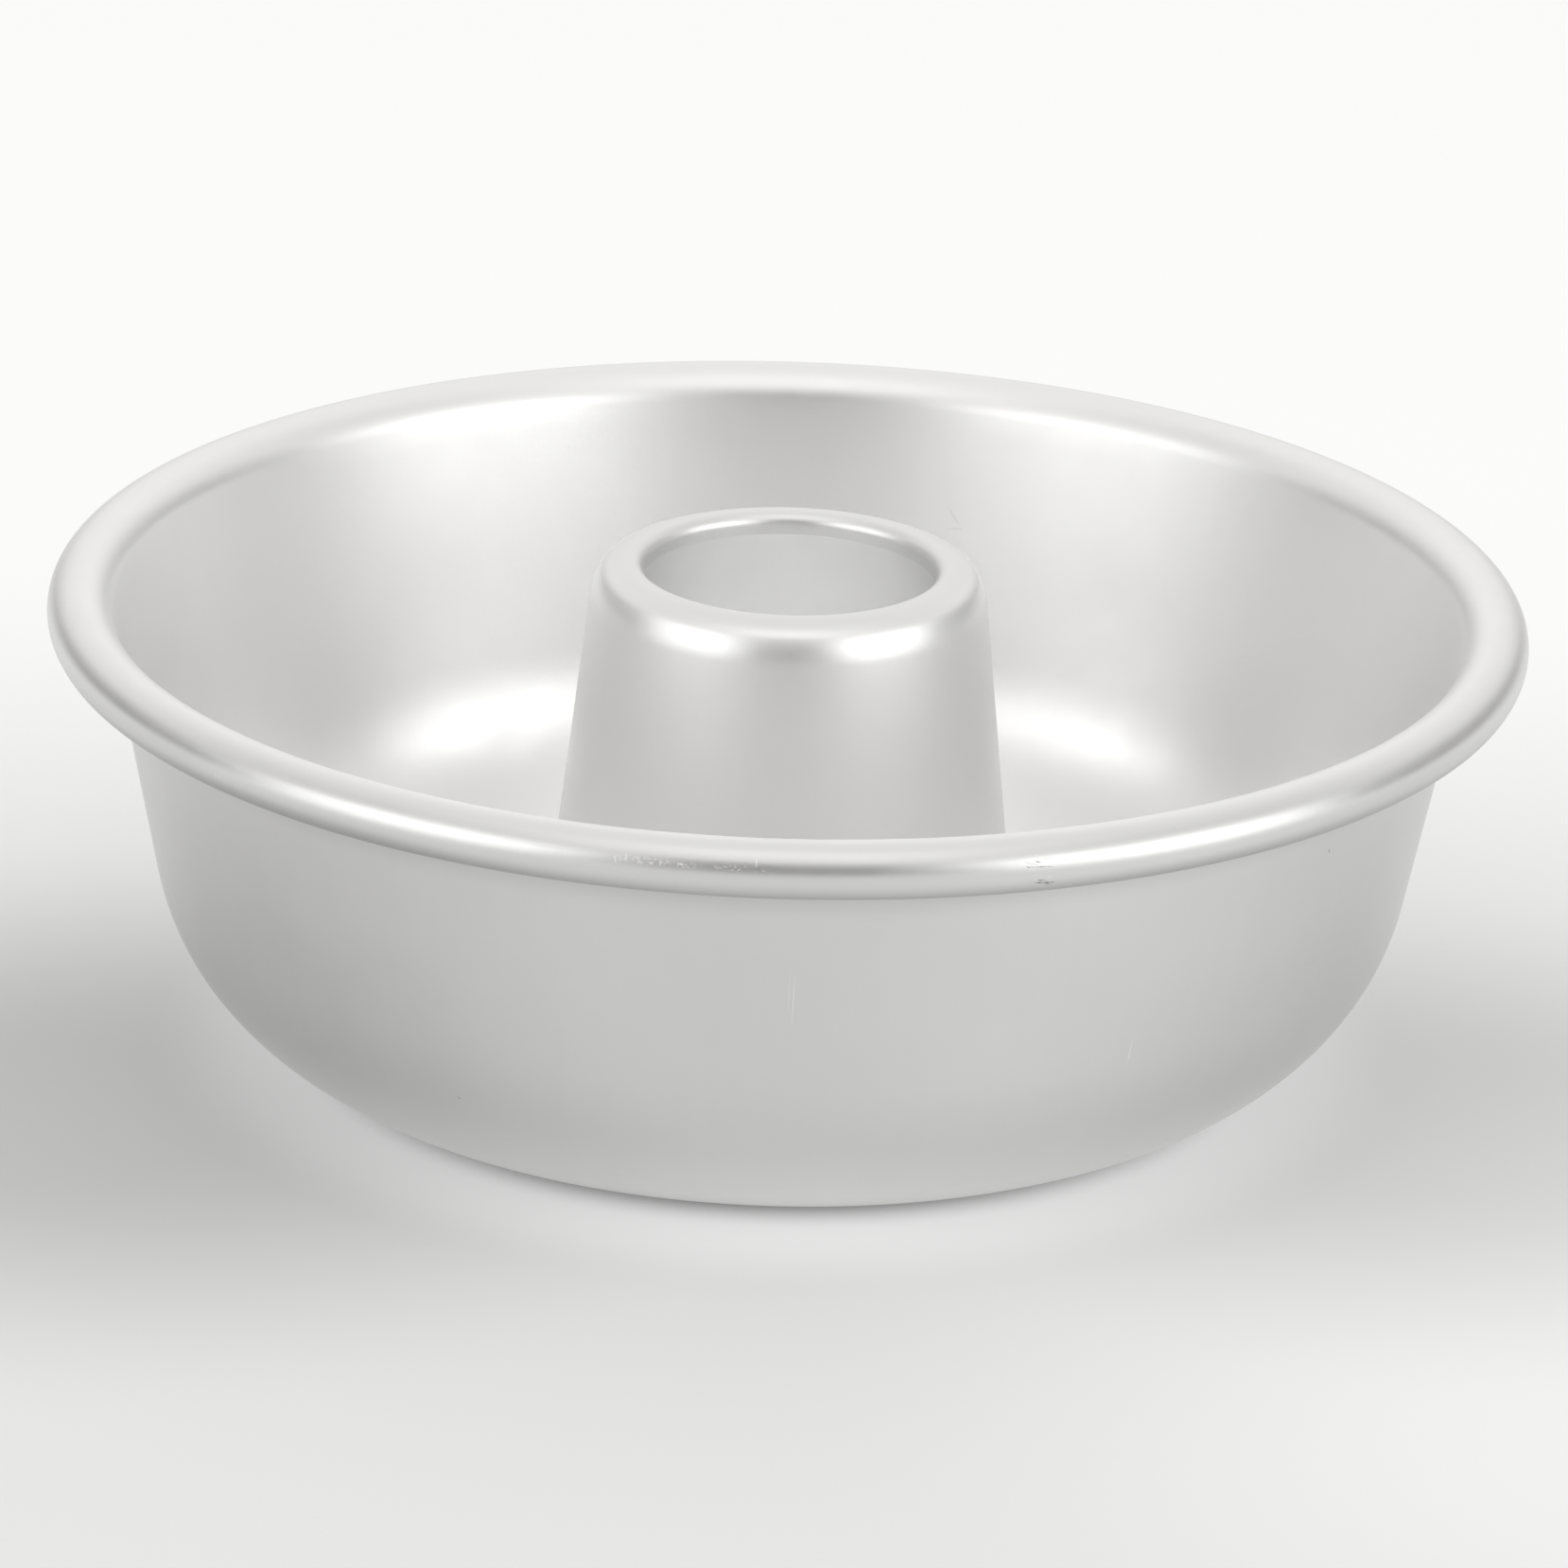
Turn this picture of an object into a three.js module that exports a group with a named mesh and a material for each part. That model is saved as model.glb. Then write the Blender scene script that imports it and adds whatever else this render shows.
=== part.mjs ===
// A ring mould for cakes, in drawn aluminium sheet: an outer bowl with a rolled rim, and a hollow centre tube whose
// foot is hemmed round a collar in the bowl's floor. Millimetres, +Z up, origin on the table under the middle.
import * as THREE from "three";

// Sheet of both pieces
const SHEET = 0.8;

// Outer bowl
const RIM_DIAMETER = 210; // over the rolled rim
const RIM_HEIGHT = 69.2; // top of the rim above the table
const CURL_DIAMETER = 8; // outside of the rolled rim
const CURL_WRAP = 240; // degrees that the sheet rolls on past the top of the rim
const RIM_SHOULDER_RADIUS = 5.4; // outside, where the wall's inner face turns into the top of the rim
const WALL_DRAFT = 11.3; // degrees from upright
const CORNER_RADIUS = 35.3; // outside, between the wall and the floor

// Centre tube
const TUBE_HEIGHT = 73; // top of the tube above the table
const TUBE_HOLE_DIAMETER = 41.6; // clear hole inside the lip
const TUBE_LIP_DEPTH = 3.2; // from the top of the tube down to the lip's edge
const TUBE_LIP_RADIUS = 1.7; // outside, from the top into the lip
const TUBE_SHOULDER_RADIUS = 5.7; // outside, from the top into the cone
const TUBE_DRAFT = 6.2; // degrees from upright

// Lock seam at the tube's foot, under a raised ring in the middle of the bowl's floor
const SEAM_CLEARANCE = 0.3; // between the two sheets
const SEAM_OVERLAP = 1.6; // height of the tube's hem outside the bowl's collar
const SEAM_TABLE_CLEARANCE = 0.6; // from the table up to the hem
const SEAM_ROOM = 1; // from the hem out to the step in the floor
const COLLAR_BEND = 1; // mid-sheet radius, from the raised ring down into the collar
const FOOT_BEND = 4; // mid-sheet radius, from the cone into the upright foot
const STEP_BEND = 2; // mid-sheet radius of the two bends between the raised ring and the floor
const STEP_SLOPE = 55; // degrees from level

// Fineness of round surfaces
const ROUND_SEGMENTS = 64; // about the axis
const CHORD_ERROR = 0.08; // between an arc and its chords
const SAME_POINT = 1e-6; // points closer than this are one

const ALUMINIUM = { color: 0xcfcecb, roughness: 0.42, metalness: 0.85 };

const HALF_SHEET = SHEET / 2;
const LEFT = Math.PI;
const TOP = Math.PI / 2;
const RIGHT = 0;
const BOTTOM = -Math.PI / 2;
const radians = THREE.MathUtils.degToRad;

// The bend of the tube's hem has the collar in its middle, with the seam's clearance on both faces.
const hemBend = SHEET + SEAM_CLEARANCE;
const hemLevel = SEAM_TABLE_CLEARANCE + HALF_SHEET + hemBend;
const hemTop = hemLevel + SEAM_OVERLAP;
const collarBendLevel = hemTop + SEAM_CLEARANCE;
const raisedRingLevel = collarBendLevel + COLLAR_BEND;

// The centre of an arc at a given level that shares a tangent straight with a known arc. The angle is that of the
// straight's normal, and a mid-sheet radius is negative where its arc lies on the normal's far side.
function tangentCentre(known, knownRadius, radius, level, angle) {
  const across = knownRadius - radius - (level - known.y) * Math.sin(angle);
  return new THREE.Vector2(known.x + across / Math.cos(angle), level);
}

function arcSteps(arc) {
  const sweep = Math.abs(arc.aEndAngle - arc.aStartAngle);
  const widestStep = 2 * Math.acos(1 - CHORD_ERROR / arc.xRadius);
  return Math.ceil(sweep / widestStep);
}

// Points along a path of straights and arcs, each with its unit normal to the left.
function midSheetPoints(path) {
  const samples = [];
  for (const curve of path.curves) {
    const steps = curve.isEllipseCurve ? arcSteps(curve) : 1;
    for (let step = 0; step <= steps; step++) {
      const point = curve.getPoint(step / steps);
      const last = samples.at(-1);
      if (last && point.distanceTo(last.point) < SAME_POINT) continue;
      const tangent = curve.getTangent(step / steps);
      samples.push({ point, normal: new THREE.Vector2(-tangent.y, tangent.x) });
    }
  }
  return samples;
}

// A turned piece of sheet whose middle follows the path, as one closed solid about the Z axis.
function turnedSheet(name, path) {
  const samples = midSheetPoints(path);
  const face = (offset) =>
    samples.map(({ point, normal }) => point.clone().addScaledVector(normal, offset));
  const outline = [...face(-HALF_SHEET), ...face(HALF_SHEET).reverse()];
  outline.push(outline[0].clone());
  const geometry = new THREE.LatheGeometry(outline, ROUND_SEGMENTS);
  const mesh = new THREE.Mesh(geometry, new THREE.MeshStandardMaterial(ALUMINIUM));
  mesh.name = name;
  mesh.rotation.x = Math.PI / 2;
  return mesh;
}

// The tube's middle surface from the lip's free edge, over the top and down the cone to the hem's free edge.
function centreTubePath() {
  const draft = radians(TUBE_DRAFT);
  const lipWall = TUBE_HOLE_DIAMETER / 2 + HALF_SHEET;
  const lipBend = TUBE_LIP_RADIUS - HALF_SHEET;
  const lip = new THREE.Vector2(lipWall + lipBend, TUBE_HEIGHT - TUBE_LIP_RADIUS);
  const shoulderBend = TUBE_SHOULDER_RADIUS - HALF_SHEET;
  const shoulder = new THREE.Vector2(lip.x, TUBE_HEIGHT - TUBE_SHOULDER_RADIUS);
  const foot = tangentCentre(shoulder, shoulderBend, FOOT_BEND, raisedRingLevel + HALF_SHEET, draft);
  const footWall = foot.x + FOOT_BEND;

  const path = new THREE.Path();
  path.moveTo(lipWall, TUBE_HEIGHT - TUBE_LIP_DEPTH);
  path.lineTo(lipWall, lip.y);
  path.absarc(lip.x, lip.y, lipBend, LEFT, TOP, true);
  path.absarc(shoulder.x, shoulder.y, shoulderBend, TOP, draft, true);
  path.absarc(foot.x, foot.y, FOOT_BEND, draft, RIGHT, true);
  path.absarc(footWall + hemBend, hemLevel, hemBend, LEFT, LEFT + Math.PI, false);
  path.lineTo(footWall + 2 * hemBend, hemTop);
  return { path, footWall };
}

// The bowl's middle surface from the collar's free edge, out along the floor, up the wall and round the rolled rim.
function panShellPath(footWall) {
  const draft = radians(WALL_DRAFT);
  const slope = radians(STEP_SLOPE);
  const collarWall = footWall + hemBend;
  const hemFace = footWall + 2 * hemBend + HALF_SHEET;
  const stepTop = new THREE.Vector2(hemFace + SEAM_ROOM, raisedRingLevel - STEP_BEND);
  const stepFoot = tangentCentre(stepTop, STEP_BEND, -STEP_BEND, HALF_SHEET + STEP_BEND, TOP - slope);
  const curlBend = CURL_DIAMETER / 2 - HALF_SHEET;
  const curl = new THREE.Vector2((RIM_DIAMETER - CURL_DIAMETER) / 2, RIM_HEIGHT - CURL_DIAMETER / 2);
  const shoulderBend = RIM_SHOULDER_RADIUS - HALF_SHEET;
  const shoulder = new THREE.Vector2(curl.x, RIM_HEIGHT - RIM_SHOULDER_RADIUS);
  const cornerBend = CORNER_RADIUS - HALF_SHEET;
  const corner = tangentCentre(shoulder, -shoulderBend, cornerBend, CORNER_RADIUS, -draft);

  const path = new THREE.Path();
  path.moveTo(collarWall, hemLevel);
  path.lineTo(collarWall, collarBendLevel);
  path.absarc(collarWall + COLLAR_BEND, collarBendLevel, COLLAR_BEND, LEFT, TOP, true);
  path.absarc(stepTop.x, stepTop.y, STEP_BEND, TOP, TOP - slope, true);
  path.absarc(stepFoot.x, stepFoot.y, STEP_BEND, BOTTOM - slope, BOTTOM, false);
  path.absarc(corner.x, corner.y, cornerBend, BOTTOM, -draft, false);
  path.absarc(shoulder.x, shoulder.y, shoulderBend, LEFT - draft, TOP, true);
  path.absarc(curl.x, curl.y, curlBend, TOP, RIGHT, true);
  path.absarc(curl.x, curl.y, curlBend, RIGHT, TOP - radians(CURL_WRAP), true);
  return path;
}

const doughnutPan = new THREE.Group();
const centreTube = centreTubePath();
doughnutPan.add(turnedSheet("pan_shell", panShellPath(centreTube.footWall)));
doughnutPan.add(turnedSheet("centre_tube", centreTube.path));

export default doughnutPan;
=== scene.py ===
"""A doughnut pan in satin aluminium sheet: a drawn ring-shaped bowl with a rolled rim, and a hollow centre
tube whose foot is hemmed round a collar in the bowl's floor. Metres, +Z up, origin on the table under the
middle."""
import math
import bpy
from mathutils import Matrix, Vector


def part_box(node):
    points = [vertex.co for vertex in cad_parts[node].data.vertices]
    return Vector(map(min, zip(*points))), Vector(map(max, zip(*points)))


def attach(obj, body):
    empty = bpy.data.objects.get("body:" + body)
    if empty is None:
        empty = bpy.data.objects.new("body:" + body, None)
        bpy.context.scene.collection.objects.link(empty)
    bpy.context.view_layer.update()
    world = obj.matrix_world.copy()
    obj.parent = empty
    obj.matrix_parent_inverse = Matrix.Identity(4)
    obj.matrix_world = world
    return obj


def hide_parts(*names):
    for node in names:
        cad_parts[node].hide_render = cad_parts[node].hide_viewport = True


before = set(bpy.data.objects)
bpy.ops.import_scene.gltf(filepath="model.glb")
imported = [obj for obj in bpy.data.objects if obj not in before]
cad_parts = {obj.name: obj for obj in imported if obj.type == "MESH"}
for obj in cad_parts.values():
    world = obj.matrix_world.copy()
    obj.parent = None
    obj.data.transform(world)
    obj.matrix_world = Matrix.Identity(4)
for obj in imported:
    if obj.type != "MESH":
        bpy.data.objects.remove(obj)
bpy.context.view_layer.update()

from types import SimpleNamespace

import bmesh
import bpy
from mathutils import Matrix, Vector, noise

MM = 0.001
SAME_POINT = 1e-7
QUARTER_TURN = math.pi / 2

# Overall sizes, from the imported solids
RIM_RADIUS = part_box("pan_shell")[1].x
RIM_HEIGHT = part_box("pan_shell")[1].z
TUBE_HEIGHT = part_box("centre_tube")[1].z

# Sheet of both pieces
SHEET = 0.8 * MM
HALF_SHEET = SHEET / 2
EDGE_ROUND = 0.15 * MM
EDGE_SEGMENTS = 2
EDGE_ANGLE = math.radians(50)

# Outer bowl
CURL_RADIUS = 4.0 * MM
CURL_WRAP = math.radians(240)
RIM_SHOULDER_RADIUS = 5.4 * MM
WALL_DRAFT = math.radians(11.3)
CORNER_RADIUS = 35.3 * MM

# Centre tube
TUBE_REACH = 42.0 * MM
TUBE_HOLE_RADIUS = 20.8 * MM
TUBE_LIP_DEPTH = 3.2 * MM
TUBE_LIP_RADIUS = 1.7 * MM
TUBE_SHOULDER_RADIUS = 5.7 * MM
TUBE_CROWN_RADIUS = 8.0 * MM
TUBE_CROWN_END = math.radians(22)
TUBE_EDGE_END = math.radians(61.5)
TUBE_FLARE_RADIUS = 10.1 * MM
TUBE_DRAFT = math.radians(6.2)

# Lock seam at the tube's foot, under a raised ring in the bowl's floor
SEAM_CLEARANCE = 0.3 * MM
SEAM_OVERLAP = 1.6 * MM
SEAM_TABLE_CLEARANCE = 0.6 * MM
SEAM_ROOM = 1.0 * MM
COLLAR_BEND = 1.0 * MM
FOOT_BEND = 4.0 * MM
STEP_BEND = 2.0 * MM
STEP_SLOPE = math.radians(55)

# The bend of the tube's hem has the collar in its middle, with the seam's clearance on both faces
HEM_BEND = SHEET + SEAM_CLEARANCE
HEM_LEVEL = SEAM_TABLE_CLEARANCE + HALF_SHEET + HEM_BEND
HEM_TOP = HEM_LEVEL + SEAM_OVERLAP
COLLAR_BEND_LEVEL = HEM_TOP + SEAM_CLEARANCE
RAISED_RING_LEVEL = COLLAR_BEND_LEVEL + COLLAR_BEND

# Unevenness of the drawn walls
WAVE_HEIGHT = 0.07 * MM
WAVE_LENGTH = 26 * MM
WAVE_FOOT = 1.5 * MM
WAVE_TOP = 60 * MM
WAVE_FADE = 12 * MM
DENT = Vector((-40.4, 73.7, 17.3)) * MM
DENT_REACH = 5 * MM
DENT_DEPTH = 0.12 * MM

# Fineness of round surfaces
SHELL_TURN_STEPS = 384
TUBE_TURN_STEPS = 256

# Tones of the sheet. The outer and turned-over tones are darker than the inner ones as painted shade
INNER_DARK = (0.876, 0.875, 0.871, 1)
INNER_PALE = (0.926, 0.925, 0.92, 1)
SHADED_OUTER_DARK = (0.685, 0.685, 0.679, 1)
SHADED_OUTER_PALE = (0.765, 0.765, 0.759, 1)
SHADED_TURNED_OVER_TONE = (0.79, 0.79, 0.785, 1)
# painted shade in the crease under the curl of the rim
PAINTED_CURL_SHADE_TONE = (0.40, 0.40, 0.395, 1)
UNDER_CURL_SHARE = 0.45
WORN_TONE = (0.94, 0.94, 0.935, 1)
# tone of the stains and of a dent's painted shade
STAIN_AND_DENT_SHADE_TONE = (0.24, 0.24, 0.235, 1)

# Where the finish and the painted shade change, as a start and an end
OUTSIDE_TURN = (-0.2, 0.2)
ROLLED_RADII = (RIM_RADIUS - 7 * MM, RIM_RADIUS - 2 * MM)
TOP_RING_LEVELS = (TUBE_HEIGHT - 1.4 * MM, TUBE_HEIGHT - 0.2 * MM)
BEHIND_CURL_LEVELS = (RIM_HEIGHT - 14.2 * MM, RIM_HEIGHT - 8.2 * MM)
UNDER_CURL_LEVELS = (RIM_HEIGHT - 7.2 * MM, RIM_HEIGHT - 4.7 * MM)
ROUGHER_LEVELS = (30 * MM, 46 * MM)

# Mottle and drawing lines. Lines have their noise's fineness around the axis and along it
CLOUD_SCALE = 28.0
CLOUD_SHARE = 0.8
STREAK_FINENESS = (24.0, 16.0)
STREAK_SHARE = 0.2
RUB_FINENESS = (2.5, 1500.0)
RUB_SPAN = (0.60, 0.72)
BLOTCH_SCALE = 160.0
BLOTCH_SPAN = (0.3, 0.7)

# Roughness and relief of the sheet
CORNER_ROUGH = 0.35
WALL_ROUGH = 0.42
ROLLED_ROUGH = 0.37
BLOTCH_ROUGH = 0.02
RUB_ROUGH = 0.05
WORN_ROUGH = 0.72
PEEL_SCALE = 1300.0
PEEL_HEIGHT = 0.010 * MM
GRAIN_SCALE = 5200.0
GRAIN_HEIGHT = 0.0012 * MM
WEAR_DEPTH = 0.015 * MM

# Wear, stains and a dent's painted shade on the sheet. Each mark has its place, its lean from level in
# degrees, its half length and its half width. Lengths are in millimetres
RUBBED_MARKS = [
    ((33.4, -99.3, 66.4), 12, 1.3, 0.16),
    ((35.6, -98.4, 66.9), 4, 1.1, 0.07),
    ((34.1, -98.7, 67.3), 88, 0.35, 0.07),
    ((-22.1, -102.4, 66.5), 80, 0.7, 0.07),
    ((-20.6, -102.7, 66.9), 84, 0.6, 0.06),
    ((-13.3, -103.9, 66.6), 4, 0.7, 0.07),
    ((-3.2, -104.2, 67.4), 90, 0.9, 0.06),
    ((-77.1, -71.2, 64.8), 86, 0.7, 0.06),
    ((-76.6, -71.7, 64.9), 86, 0.6, 0.06),
    ((2.3, -92.2, 42.6), 91, 7.2, 0.06),
    ((1.7, -92.2, 44.4), 91, 5.0, 0.04),
    ((48.7, -75.6, 30.2), 94, 2.8, 0.09),
    ((24.4, 89.6, 49.6), 128, 1.9, 0.30),
    ((24.8, 89.3, 47.7), 180, 1.5, 0.24),
]
# Dark marks: stains, and low on the rim's front a cluster of dark specks that is the painted shade of a small
# dent
STAIN_AND_DENT_SHADE_MARKS = [
    ((35.4, -98.5, 63.5), 3, 2.0, 0.18),
    ((35.0, -98.7, 63.9), 8, 1.0, 0.13),
    ((35.9, -98.3, 63.2), 2, 0.7, 0.10),
    ((34.6, -98.7, 65.9), 4, 2.3, 0.09),
    ((34.3, -98.8, 66.6), 10, 0.55, 0.08),
    ((33.0, -99.5, 66.0), 15, 0.5, 0.08),
    ((75.3, -56.6, 53.4), 70, 0.45, 0.14),
    ((-43.0, -75.1, 20.3), 60, 0.45, 0.14),
]
SCUFFED_PATCHES = [
    ((33.8, -99.1, 66.2), 6, 2.4, 1.0),
    ((35.2, -98.6, 64.6), 4, 2.2, 0.8),
    ((-17.0, -103.1, 66.6), 2, 9.0, 0.7),
    ((-5.0, -104.6, 66.4), 1, 6.0, 0.6),
]
MARK_REACH = 1.6 * MM
MARK_EDGE = (0.35, 1.0)
SPECKLE_SCALE = 2400.0
SPECKLE_SPAN = (0.54, 0.62)
SCUFF_SHARE = 0.4
# patchiness of the stains and of the dent's painted shade
DARK_MARK_PATCH_SCALE = 1500.0
DARK_MARK_PATCH_SPAN = (0.42, 0.56)
DARK_MARK_PATCH_LEAST = 0.25

# Table, which glows with painted light and has painted shadows. Each spot has its middle, its reach and its
# light as a share of the open table's
TABLE_SIZE = 12.0
TABLE_WHITE = 0.45
TABLE_CLOUD_SCALE = 3.0
TABLE_CLOUD_SHARE = 0.99
TABLE_ROUGH = 0.9
TABLE_GLOW = 0.38
BACK_TABLE_GLOW = 0.56
BACK_DEPTHS = (0.0, 0.20)
# painted light in a ring round the pan's foot
NEAR_TABLE_GLOW = 0.14
NEAR_RADII = (68 * MM, 92 * MM)
# painted contact shadow: the table's glow fades out under the pan
CONTACT_RADII = (57 * MM, 70 * MM)
# painted shadows at the pan's sides, and a painted pool of light in front at the right
PAINTED_TABLE_SPOTS = [
    (Vector((-98, -34, 0)) * MM, 0.11, 0.70),
    (Vector((98, -26, 0)) * MM, 0.10, 0.82),
    (Vector((125, -112, 0)) * MM, 0.13, 1.12),
]
SPOT_CORE = 0.02

# Lamps, with azimuths in degrees to the right of the camera's side, and elevations in degrees
SOFTBOX_DISTANCE = 1.2
SOFTBOX_WIDTH = 1.05
SOFTBOX_HEIGHT = 0.70
SOFTBOX_ELEVATION = 17
LEFT_AZIMUTH = -56
LEFT_GLOW = 1.28
RIGHT_AZIMUTH = 58.5
RIGHT_GLOW = 1.62
TUBE_FILL_RADIUS = 28 * MM
TUBE_FILL_LEVEL = 0.3 * MM
TUBE_FILL_GLOW = 1.12

# Dome round the scene. Spans are of parts of a unit vector, or of sums of them
ROOM_TINT = (1, 0.993, 0.98, 1)
DOME_GLOW = 1.02
MID_GLOW = 0.92
MID_SIDE_GLOW = 0.73
MID_ACROSS = (0.25, 0.65)
MID_RISE = (0.40, 0.75)
TOP_GLOW = 1.16
TOP_ELEVATION = 66
TOP_NEARNESS = (0.88, 0.97)
SIDE_GLOW = 0.33
SIDE_ACROSS_SHARE = 1.3
SIDE_RISE_SHARE = 2.2
SIDE_SPAN = (-0.5, 1.0)
GAP_GLOW = 0.19
GAP_ACROSS = (0.28, 0.48)
GAP_TOP_RISE = (math.sin(math.radians(31)), math.sin(math.radians(46)))
GAP_DEPTHS = (-0.25, 0.05)

# Camera
PHOTO_DISTANCE = 1.5903
PHOTO_ELEVATION = math.radians(21.888)
PHOTO_ROLL = math.radians(1.805)
PHOTO_AIM = Vector((0.128 * MM, 0, 39.461 * MM))
PHOTO_LENS = 253.5
SENSOR_WIDTH = 36.0


def add_object(name, data):
    """Puts a new object into the scene."""
    made = bpy.data.objects.new(name, data)
    bpy.context.scene.collection.objects.link(made)
    return made


def start_line(radius, level):
    """Starts the middle line of a piece of sheet, in the XZ plane."""
    line = bmesh.new()
    tip = line.verts.new((radius, 0, level))
    return line, tip


def run_to(line, tip, radius, level, steps=1):
    """Runs the line straight on to a radius and a level."""
    start = tip.co.copy()
    end = Vector((radius, 0, level))
    for step in range(steps):
        tip = bmesh.ops.extrude_vert_indiv(line, verts=[tip])["verts"][0]
        tip.co = start.lerp(end, (step + 1) / steps)
    return tip


def bend_about(line, tip, centre, turn, steps):
    """Bends the line on about a centre. A positive turn is clockwise as seen from the front."""
    pivot = (centre.x, 0, centre.y)
    bent = bmesh.ops.spin(line, geom=[tip], cent=pivot, axis=(0, 1, 0), angle=turn, steps=steps)
    return next(item for item in bent["geom_last"] if isinstance(item, bmesh.types.BMVert))


def tangent_centre(known, known_radius, radius, level, angle):
    """The centre of an arc at a given level that shares a tangent straight with a known arc. The angle is
    that of the straight's normal, and a mid-sheet radius is negative where its arc lies on the normal's far
    side."""
    across = known_radius - radius - (level - known.y) * math.sin(angle)
    return Vector((known.x + across / math.cos(angle), level))


def on_arc(centre, radius, angle):
    return centre + radius * Vector((math.cos(angle), math.sin(angle)))


def settle(value, low, high):
    """Rises smoothly from 0 at the low value to 1 at the high value."""
    share = min(max((value - low) / (high - low), 0), 1)
    return share * share * (3 - 2 * share)


def wave_sheet(sheet):
    """Moves the drawn walls by hundredths of a millimetre, as drawing leaves them, and presses in a dent."""
    sheet.normal_update()
    for vert in sheet.verts:
        above_foot = settle(vert.co.z, WAVE_FOOT, 4 * WAVE_FOOT)
        below_top = 1 - settle(vert.co.z, WAVE_TOP - WAVE_FADE, WAVE_TOP)
        wave = noise.noise(vert.co / WAVE_LENGTH) * WAVE_HEIGHT
        pressed = 1 - settle((vert.co - DENT).length, 0, DENT_REACH)
        vert.co += vert.normal * (wave * (above_foot * below_top) + pressed * DENT_DEPTH)


def turned_sheet(name, line, steps):
    """Turns a middle line about the upright axis, and gives it the sheet's thickness and soft cut edges."""
    bmesh.ops.spin(line, geom=line.verts[:] + line.edges[:], cent=(0, 0, 0), axis=(0, 0, 1), angle=math.tau,
                   steps=steps, use_merge=True)
    bmesh.ops.remove_doubles(line, verts=line.verts[:], dist=SAME_POINT)
    bmesh.ops.recalc_face_normals(line, faces=line.faces[:])
    wave_sheet(line)
    mesh = bpy.data.meshes.new(name)
    line.to_mesh(mesh)
    line.free()
    mesh.shade_smooth()
    piece = add_object(name, mesh)
    wall = piece.modifiers.new("sheet", "SOLIDIFY")
    wall.thickness = SHEET
    wall.offset = 0
    wall.use_even_offset = True
    edges = piece.modifiers.new("cut_edges", "BEVEL")
    edges.width = EDGE_ROUND
    edges.segments = EDGE_SEGMENTS
    edges.limit_method = "ANGLE"
    edges.angle_limit = EDGE_ANGLE
    edges.harden_normals = True
    return piece


def tube_foot_centre():
    """The centre of the bend between the tube's cone and its upright foot."""
    shoulder = Vector((TUBE_HOLE_RADIUS + TUBE_LIP_RADIUS, TUBE_HEIGHT - TUBE_SHOULDER_RADIUS))
    shoulder_bend = TUBE_SHOULDER_RADIUS - HALF_SHEET
    return tangent_centre(shoulder, shoulder_bend, FOOT_BEND, RAISED_RING_LEVEL + HALF_SHEET, TUBE_DRAFT)


def tube_edge_radius():
    """The radius of the tube's outer edge that joins its crowned top and its flare, with the cone kept where
    a single round from top to cone would put it."""
    cone_start = QUARTER_TURN - TUBE_DRAFT

    def share(start, end):
        return math.cos(cone_start - end) - math.cos(cone_start - start)

    room = TUBE_SHOULDER_RADIUS * share(0, cone_start)
    room -= TUBE_CROWN_RADIUS * share(0, TUBE_CROWN_END)
    room -= TUBE_FLARE_RADIUS * share(TUBE_EDGE_END, cone_start)
    return room / share(TUBE_CROWN_END, TUBE_EDGE_END)


def make_centre_tube():
    """The hollow cone, from its lip over the top and down to the hem round the bowl's collar."""
    lip = Vector((TUBE_HOLE_RADIUS + TUBE_LIP_RADIUS, TUBE_HEIGHT - TUBE_LIP_RADIUS))
    edge_radius = tube_edge_radius()
    crown = Vector((lip.x, TUBE_HEIGHT - TUBE_CROWN_RADIUS))
    edge = on_arc(crown, TUBE_CROWN_RADIUS - edge_radius, QUARTER_TURN - TUBE_CROWN_END)
    flare = on_arc(edge, edge_radius - TUBE_FLARE_RADIUS, QUARTER_TURN - TUBE_EDGE_END)
    foot = tube_foot_centre()
    foot_wall = foot.x + FOOT_BEND
    hem = Vector((foot_wall + HEM_BEND, HEM_LEVEL))
    cone_end = on_arc(foot, FOOT_BEND, TUBE_DRAFT)
    lip_wall = TUBE_HOLE_RADIUS + HALF_SHEET

    line, tip = start_line(lip_wall, TUBE_HEIGHT - TUBE_LIP_DEPTH)
    tip = run_to(line, tip, lip_wall, lip.y, steps=3)
    tip = bend_about(line, tip, lip, QUARTER_TURN, steps=10)
    tip = bend_about(line, tip, crown, TUBE_CROWN_END, steps=6)
    tip = bend_about(line, tip, edge, TUBE_EDGE_END - TUBE_CROWN_END, steps=8)
    tip = bend_about(line, tip, flare, QUARTER_TURN - TUBE_DRAFT - TUBE_EDGE_END, steps=8)
    tip = run_to(line, tip, cone_end.x, cone_end.y, steps=18)
    tip = bend_about(line, tip, foot, TUBE_DRAFT, steps=2)
    tip = run_to(line, tip, foot_wall, HEM_LEVEL, steps=2)
    tip = bend_about(line, tip, hem, -math.pi, steps=12)
    run_to(line, tip, foot_wall + 2 * HEM_BEND, HEM_TOP, steps=2)
    return turned_sheet("centre_tube_satin", line, TUBE_TURN_STEPS)


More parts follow.
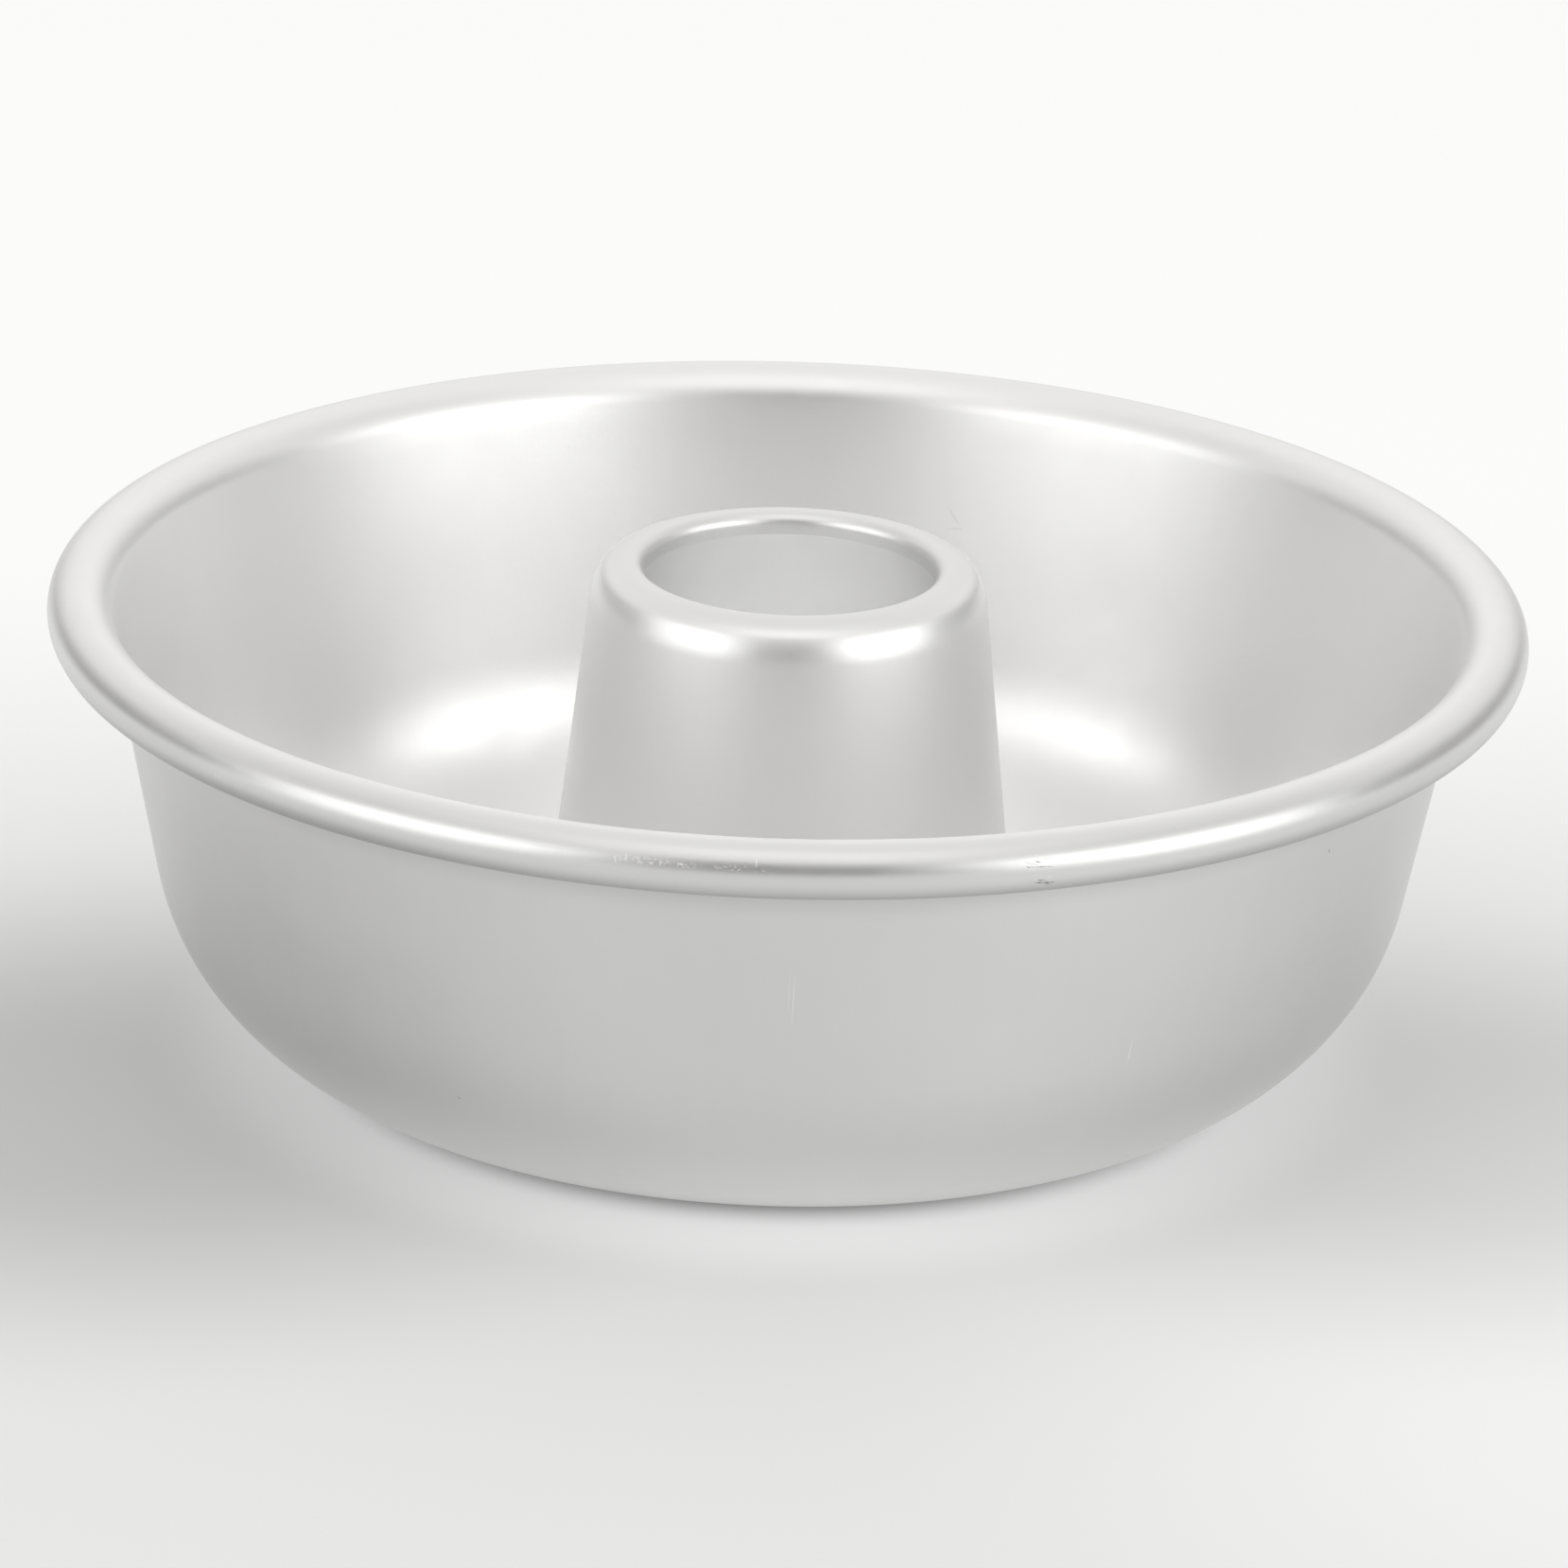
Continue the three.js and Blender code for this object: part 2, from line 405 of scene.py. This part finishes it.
def make_pan_shell():
    """The ring-shaped bowl, from its collar out along the floor, up the wall and round the rolled rim."""
    foot_wall = tube_foot_centre().x + FOOT_BEND
    collar_wall = foot_wall + HEM_BEND
    hem_face = foot_wall + 2 * HEM_BEND + HALF_SHEET
    step_top = Vector((hem_face + SEAM_ROOM, RAISED_RING_LEVEL - STEP_BEND))
    step_foot_level = HALF_SHEET + STEP_BEND
    step_foot = tangent_centre(step_top, STEP_BEND, -STEP_BEND, step_foot_level, QUARTER_TURN - STEP_SLOPE)
    curl = Vector((RIM_RADIUS - CURL_RADIUS, RIM_HEIGHT - CURL_RADIUS))
    shoulder = Vector((curl.x, RIM_HEIGHT - RIM_SHOULDER_RADIUS))
    shoulder_bend = RIM_SHOULDER_RADIUS - HALF_SHEET
    corner_bend = CORNER_RADIUS - HALF_SHEET
    corner = tangent_centre(shoulder, -shoulder_bend, corner_bend, CORNER_RADIUS, -WALL_DRAFT)
    collar = Vector((collar_wall + COLLAR_BEND, COLLAR_BEND_LEVEL))
    slope_end = on_arc(step_foot, STEP_BEND, -QUARTER_TURN - STEP_SLOPE)
    wall_end = on_arc(shoulder, shoulder_bend, math.pi - WALL_DRAFT)

    line, tip = start_line(collar_wall, HEM_LEVEL)
    tip = run_to(line, tip, collar_wall, COLLAR_BEND_LEVEL, steps=2)
    tip = bend_about(line, tip, collar, QUARTER_TURN, steps=6)
    tip = run_to(line, tip, step_top.x, RAISED_RING_LEVEL, steps=2)
    tip = bend_about(line, tip, step_top, STEP_SLOPE, steps=6)
    tip = run_to(line, tip, slope_end.x, slope_end.y)
    tip = bend_about(line, tip, step_foot, -STEP_SLOPE, steps=6)
    tip = run_to(line, tip, corner.x, HALF_SHEET, steps=5)
    tip = bend_about(line, tip, corner, WALL_DRAFT - QUARTER_TURN, steps=26)
    tip = run_to(line, tip, wall_end.x, wall_end.y, steps=12)
    tip = bend_about(line, tip, shoulder, QUARTER_TURN - WALL_DRAFT, steps=10)
    bend_about(line, tip, curl, CURL_WRAP, steps=32)
    return turned_sheet("pan_shell_satin", line, SHELL_TURN_STEPS)


class NodeBoard:
    """Lays shader nodes. Inputs take numbers, colours or the outputs of earlier nodes."""

    def __init__(self, tree):
        self.tree = tree

    def fill(self, node, inputs):
        for key, value in inputs.items():
            if isinstance(value, bpy.types.NodeSocket):
                self.tree.links.new(value, node.inputs[key])
            else:
                node.inputs[key].default_value = value

    def node(self, kind, inputs, **settings):
        made = self.tree.nodes.new(kind)
        for key, value in settings.items():
            setattr(made, key, value)
        self.fill(made, inputs)
        return made

    def place(self, kind):
        return self.node("ShaderNodeTexCoord", {}).outputs[kind]

    def axis(self, place, name):
        return self.node("ShaderNodeSeparateXYZ", {0: place}).outputs[name]

    def math(self, operation, *values):
        return self.node("ShaderNodeMath", dict(enumerate(values)), operation=operation).outputs[0]

    def vector(self, operation, output, *values):
        return self.node("ShaderNodeVectorMath", dict(enumerate(values)), operation=operation).outputs[output]

    def scaled(self, place, scale):
        inputs = {0: place, "Scale": scale}
        return self.node("ShaderNodeVectorMath", inputs, operation="SCALE").outputs["Vector"]

    def noise(self, place, scale, detail=2.0, roughness=0.5):
        inputs = {"Vector": place, "Scale": scale, "Detail": detail, "Roughness": roughness}
        return self.node("ShaderNodeTexNoise", inputs).outputs["Fac"]

    def spread(self, value, low, high, new_low, new_high, ease="LINEAR"):
        """Takes the span from low to high to the span from new_low to new_high."""
        inputs = {"Value": value, 1: low, 2: high, 3: new_low, 4: new_high}
        return self.node("ShaderNodeMapRange", inputs, interpolation_type=ease).outputs[0]

    def share(self, value, span):
        """Rises evenly from 0 at the span's start to 1 at its end."""
        return self.spread(value, *span, 0.0, 1.0)

    def rise(self, value, span):
        """Rises softly from 0 at the span's start to 1 at its end."""
        return self.spread(value, *span, 0.0, 1.0, "SMOOTHSTEP")

    def fall(self, value, span):
        """Falls softly from 1 at the span's start to 0 at its end."""
        return self.spread(value, *span, 1.0, 0.0, "SMOOTHSTEP")

    def blend(self, factor, first, second):
        """Goes from the first colour to the second as the factor goes from 0 to 1."""
        inputs = {"Factor": factor, 6: first, 7: second}
        return self.node("ShaderNodeMix", inputs, data_type="RGBA").outputs[2]


def new_finish(name):
    material = bpy.data.materials.new(name)
    material.use_nodes = True
    return material, NodeBoard(material.node_tree), material.node_tree.nodes["Principled BSDF"]


def outer_face(board, outward, radius):
    """1 on the bowl's outside, and 0 on all other faces."""
    facing = board.place("Normal")
    out = board.vector("DOT_PRODUCT", "Value", facing, outward)
    up = board.axis(facing, "Z")
    outside = board.share(board.math("SUBTRACT", out, up), OUTSIDE_TURN)
    return board.math("MULTIPLY", outside, board.math("GREATER_THAN", radius, TUBE_REACH))


def mark(board, place, spot, lean, half_length, half_width):
    """A soft-edged long spot on an upright face."""
    middle = Vector(spot) * MM
    outward = Vector((middle.x, middle.y, 0)).normalized()
    level = Vector((-outward.y, outward.x, 0))
    tilt = Matrix.Rotation(-math.radians(lean), 3, outward)
    along = tilt @ level
    across = outward.cross(along)
    inputs = {
        "Vector": place,
        "Location": middle,
        "Rotation": Matrix((along, across, outward)).transposed().to_euler(),
        "Scale": (half_length * MM, half_width * MM, MARK_REACH),
    }
    inside = board.node("ShaderNodeMapping", inputs, vector_type="TEXTURE").outputs[0]
    return board.fall(board.vector("LENGTH", "Value", inside), MARK_EDGE)


def marks(board, place, spots):
    """All marks of one kind."""
    found = 0.0
    for spot in spots:
        found = board.math("MAXIMUM", found, mark(board, place, *spot))
    return found


def drawn_lines(board, sheet, turns, rises):
    """Noise that is stretched along or around the drawn sheet."""
    around = board.scaled(sheet.outward, turns)
    rise = board.math("MULTIPLY", sheet.height, rises)
    lift = board.node("ShaderNodeCombineXYZ", {"Z": rise}).outputs[0]
    return board.noise(board.vector("ADD", "Vector", around, lift), 1.0, 3.0, 0.6)


def sheet_places(board):
    """Where a point of the sheet lies, and how far it is outside, rolled, worn, stained or painted with a
    dent's shade.
    """
    sheet = SimpleNamespace(place=board.place("Object"))
    flat_place = board.vector("MULTIPLY", "Vector", sheet.place, (1, 1, 0))
    sheet.height = board.axis(sheet.place, "Z")
    sheet.outward = board.vector("NORMALIZE", "Vector", flat_place)
    sheet.radius = board.vector("LENGTH", "Value", flat_place)
    sheet.outside = outer_face(board, sheet.outward, sheet.radius)
    sheet.rolled = board.rise(sheet.radius, ROLLED_RADII)
    rubbed = marks(board, sheet.place, RUBBED_MARKS)
    speckle = board.share(board.noise(sheet.place, SPECKLE_SCALE, 2.0, 0.7), SPECKLE_SPAN)
    speckle_share = board.math("MULTIPLY", speckle, SCUFF_SHARE)
    scuffed = board.math("MULTIPLY", marks(board, sheet.place, SCUFFED_PATCHES), speckle_share)
    sheet.worn = board.math("MAXIMUM", rubbed, scuffed)
    sheet.dirty = marks(board, sheet.place, STAIN_AND_DENT_SHADE_MARKS)
    sheet.marked = board.math("MAXIMUM", sheet.worn, sheet.dirty)
    return sheet


def mottled_and_shaded_tone(board, sheet):
    """The clean sheet's tone, with painted shade that makes it darker on the bowl's outside and greyer on the
    rim and on the tube's top.
    """
    cloud = board.math("MULTIPLY", board.noise(sheet.place, CLOUD_SCALE, 3.0), CLOUD_SHARE)
    streaks = board.math("MULTIPLY", drawn_lines(board, sheet, *STREAK_FINENESS), STREAK_SHARE)
    mottle = board.math("ADD", cloud, streaks)
    inner_tone = board.blend(mottle, INNER_DARK, INNER_PALE)
    # painted shade: the bowl's outside takes a darker copy of the sheet's tone
    shaded_outer_tone = board.blend(mottle, SHADED_OUTER_DARK, SHADED_OUTER_PALE)
    on_tube = board.math("LESS_THAN", sheet.radius, TUBE_REACH)
    top_ring = board.math("MULTIPLY", board.rise(sheet.height, TOP_RING_LEVELS), on_tube)
    turned_over = board.math("MAXIMUM", sheet.rolled, top_ring)
    # painted shade: the rolled rim and the tube's top take a greyer copy of the sheet's tone
    shaded_rim_tone = board.blend(turned_over, inner_tone, SHADED_TURNED_OVER_TONE)
    return board.blend(sheet.outside, shaded_rim_tone, shaded_outer_tone)


def sheet_tone(board, sheet):
    """The clean sheet's tone, with painted shade under the curl of the rim, and with wear, stains and a
    dent's painted shade on it.
    """
    # painted shade on the bowl's outside, in the crease under the rim's curl
    behind_curl = board.math("MULTIPLY", board.rise(sheet.height, BEHIND_CURL_LEVELS), sheet.outside)
    below_curl = board.spread(sheet.height, *UNDER_CURL_LEVELS, UNDER_CURL_SHARE, 0.0, "SMOOTHSTEP")
    painted_curl_shade = board.math("MULTIPLY", behind_curl, below_curl)
    clean_tone = board.blend(painted_curl_shade, mottled_and_shaded_tone(board, sheet), PAINTED_CURL_SHADE_TONE)
    worn_tone = board.blend(sheet.worn, clean_tone, WORN_TONE)
    patchy = board.spread(board.noise(sheet.place, DARK_MARK_PATCH_SCALE, 2.0), *DARK_MARK_PATCH_SPAN, DARK_MARK_PATCH_LEAST, 1.0)
    # the dark marks are stains and, low on the rim's front, a dent's painted shade
    dark_mark = board.math("MULTIPLY", sheet.dirty, patchy)
    return board.blend(dark_mark, worn_tone, STAIN_AND_DENT_SHADE_TONE)


def sheet_roughness(board, sheet):
    """Smoother in the corner and on the rolled rim than on the walls, and rough where it is marked."""
    wall_rough = board.spread(sheet.height, *ROUGHER_LEVELS, CORNER_ROUGH, WALL_ROUGH, "SMOOTHSTEP")
    clean_rough = board.spread(sheet.rolled, 0.0, 1.0, wall_rough, ROLLED_ROUGH)
    blotch = board.noise(sheet.place, BLOTCH_SCALE, 3.0, 0.6)
    uneven = board.spread(blotch, *BLOTCH_SPAN, -BLOTCH_ROUGH, BLOTCH_ROUGH)
    mottled_rough = board.math("ADD", clean_rough, uneven)
    rub_lines = board.share(drawn_lines(board, sheet, *RUB_FINENESS), RUB_SPAN)
    rubs = board.math("MULTIPLY", rub_lines, sheet.outside)
    lined_rough = board.math("ADD", mottled_rough, board.math("MULTIPLY", rubs, RUB_ROUGH))
    return board.spread(sheet.marked, 0.0, 1.0, lined_rough, WORN_ROUGH)


def sheet_relief(board, sheet):
    """A fine skin on the whole sheet, with the marks cut into it."""
    peel = board.math("MULTIPLY", board.noise(sheet.place, PEEL_SCALE, 2.0, 0.6), PEEL_HEIGHT)
    grain = board.math("MULTIPLY", board.noise(sheet.place, GRAIN_SCALE, 1.0), GRAIN_HEIGHT)
    skin = board.math("ADD", peel, grain)
    relief = board.math("SUBTRACT", skin, board.math("MULTIPLY", sheet.marked, WEAR_DEPTH))
    bump = board.node("ShaderNodeBump", {"Strength": 1.0, "Distance": 1.0, "Height": relief})
    return bump.outputs["Normal"]


def satin_aluminium():
    """Satin sheet with painted shade that darkens the bowl's outside, the rim and the tube's top, and
    burnished where the rim was rolled.
    """
    material, board, shader = new_finish("satin_aluminium")
    sheet = sheet_places(board)
    board.fill(shader, {
        "Base Color": sheet_tone(board, sheet),
        "Metallic": 1.0,
        "Roughness": sheet_roughness(board, sheet),
        "Normal": sheet_relief(board, sheet),
    })
    return material


def painted_table_shade(board, place):
    """The share of the open table's light that its spots leave: painted shadows at both sides of the pan, and
    a painted pool of light in front at the right.
    """
    shade = 1.0
    for middle, reach, light in PAINTED_TABLE_SPOTS:
        away = board.vector("DISTANCE", "Value", place, middle)
        spot = board.spread(away, SPOT_CORE, reach, light, 1.0, "SMOOTHSTEP")
        shade = board.math("MULTIPLY", shade, spot)
    return shade


def table_glow(board, place, shade):
    """The table's painted glow, which is stronger behind the pan and close round it, and fades out under it
    as a painted contact shadow.
    """
    reach = board.vector("LENGTH", "Value", place)
    depth = board.axis(place, "Y")
    open_glow = board.spread(depth, *BACK_DEPTHS, TABLE_GLOW, BACK_TABLE_GLOW, "SMOOTHSTEP")
    near_glow = board.spread(reach, *NEAR_RADII, NEAR_TABLE_GLOW, 0.0, "SMOOTHSTEP")
    glow = board.math("ADD", board.math("MULTIPLY", open_glow, shade), near_glow)
    return board.math("MULTIPLY", glow, board.rise(reach, CONTACT_RADII))


def white_table():
    """A white table top that glows softly with painted light, with a painted shadow at each side of the pan
    and more painted light in front at the right."""
    material, board, shader = new_finish("white_table")
    place = board.place("Object")
    shade = painted_table_shade(board, place)
    cloud = board.noise(place, TABLE_CLOUD_SCALE)
    white = board.spread(cloud, 0.0, 1.0, TABLE_CLOUD_SHARE * TABLE_WHITE, TABLE_WHITE)
    # the painted spots darken and brighten the table's colour as well as its glow
    board.fill(shader, {
        "Base Color": board.math("MULTIPLY", white, shade),
        "Roughness": TABLE_ROUGH,
        "Specular IOR Level": 0.0,
        "Emission Color": (1, 1, 1, 1),
        "Emission Strength": table_glow(board, place, shade),
    })
    return material


def make_table():
    top = bmesh.new()
    bmesh.ops.create_grid(top, x_segments=1, y_segments=1, size=TABLE_SIZE / 2)
    mesh = bpy.data.meshes.new("table")
    top.to_mesh(mesh)
    top.free()
    mesh.materials.append(white_table())
    add_object("table", mesh)


def direction(azimuth, elevation):
    """A unit vector, with azimuth in degrees to the right of the camera's side, and elevation in degrees."""
    turn = math.radians(azimuth)
    rise = math.radians(elevation)
    return Vector((math.sin(turn) * math.cos(rise), -math.cos(turn) * math.cos(rise), math.sin(rise)))


def hang_softbox(name, azimuth, glow):
    """A large lamp that faces the pan."""
    light = bpy.data.lights.new(name, "AREA")
    light.shape = "RECTANGLE"
    light.size = SOFTBOX_WIDTH
    light.size_y = SOFTBOX_HEIGHT
    light.energy = glow * math.pi * SOFTBOX_WIDTH * SOFTBOX_HEIGHT
    away = direction(azimuth, SOFTBOX_ELEVATION)
    lamp = add_object(name, light)
    lamp.rotation_euler = away.to_track_quat("Z", "Y").to_euler()
    lamp.location = away * SOFTBOX_DISTANCE
    lamp.visible_camera = False


def light_tube():
    """A small round lamp on the table, inside the tube."""
    light = bpy.data.lights.new("tube_fill", "AREA")
    light.shape = "DISK"
    light.size = 2 * TUBE_FILL_RADIUS
    light.energy = TUBE_FILL_GLOW * math.pi * math.pi * TUBE_FILL_RADIUS ** 2
    lamp = add_object("tube_fill", light)
    lamp.rotation_euler = (math.pi, 0, 0)
    lamp.location = (0, 0, TUBE_FILL_LEVEL)
    lamp.visible_camera = False


def dome_glow(board, toward, across, rise):
    """A pale dome that is brightest high on the camera's side, and darkens low at both sides."""
    mid_glow = board.spread(across, *MID_ACROSS, MID_GLOW, MID_SIDE_GLOW, "SMOOTHSTEP")
    upper = board.spread(rise, *MID_RISE, DOME_GLOW, mid_glow, "SMOOTHSTEP")
    to_top = board.vector("DOT_PRODUCT", "Value", toward, direction(0, TOP_ELEVATION))
    high = board.spread(to_top, *TOP_NEARNESS, upper, TOP_GLOW, "SMOOTHSTEP")
    wide = board.math("MULTIPLY", across, SIDE_ACROSS_SHARE)
    low_across = board.math("SUBTRACT", wide, board.math("MULTIPLY", rise, SIDE_RISE_SHARE))
    return board.spread(low_across, *SIDE_SPAN, high, SIDE_GLOW, "SMOOTHSTEP")


def room_glow(board):
    """The dome, with a dark gap low on the camera's side, between the softboxes."""
    toward = board.place("Generated")
    across = board.math("ABSOLUTE", board.axis(toward, "X"))
    rise = board.axis(toward, "Z")
    low_gap = board.math("MULTIPLY", board.fall(across, GAP_ACROSS), board.fall(rise, GAP_TOP_RISE))
    gap = board.math("MULTIPLY", low_gap, board.fall(board.axis(toward, "Y"), GAP_DEPTHS))
    return board.spread(gap, 0.0, 1.0, dome_glow(board, toward, across, rise), GAP_GLOW)


def light_room():
    """Two softboxes in front, a lamp inside the tube, and the dome round the scene."""
    hang_softbox("left_softbox", LEFT_AZIMUTH, LEFT_GLOW)
    hang_softbox("right_softbox", RIGHT_AZIMUTH, RIGHT_GLOW)
    light_tube()
    world = bpy.data.worlds.new("studio")
    bpy.context.scene.world = world
    world.use_nodes = True
    board = NodeBoard(world.node_tree)
    background = world.node_tree.nodes["Background"]
    board.fill(background, {"Color": ROOM_TINT, "Strength": room_glow(board)})


def set_camera():
    data = bpy.data.cameras.new("camera")
    data.lens = PHOTO_LENS
    data.sensor_width = SENSOR_WIDTH
    camera = add_object("camera", data)
    stand = Vector((0, -math.cos(PHOTO_ELEVATION), math.sin(PHOTO_ELEVATION))) * PHOTO_DISTANCE
    aim = (stand - PHOTO_AIM).to_track_quat("Z", "Y").to_matrix().to_4x4()
    camera.matrix_world = Matrix.Translation(stand) @ aim @ Matrix.Rotation(PHOTO_ROLL, 4, "Z")
    bpy.context.scene.camera = camera


def fit_piece(piece, node, material):
    """Gives a piece its finish, and sets it in the place of its solid."""
    piece.data.materials.append(material)
    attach(piece, "root")
    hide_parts(node)


set_camera()
make_table()
light_room()
metal = satin_aluminium()
fit_piece(make_pan_shell(), "pan_shell", metal)
fit_piece(make_centre_tube(), "centre_tube", metal)
bpy.context.scene.view_settings.view_transform = "Standard"
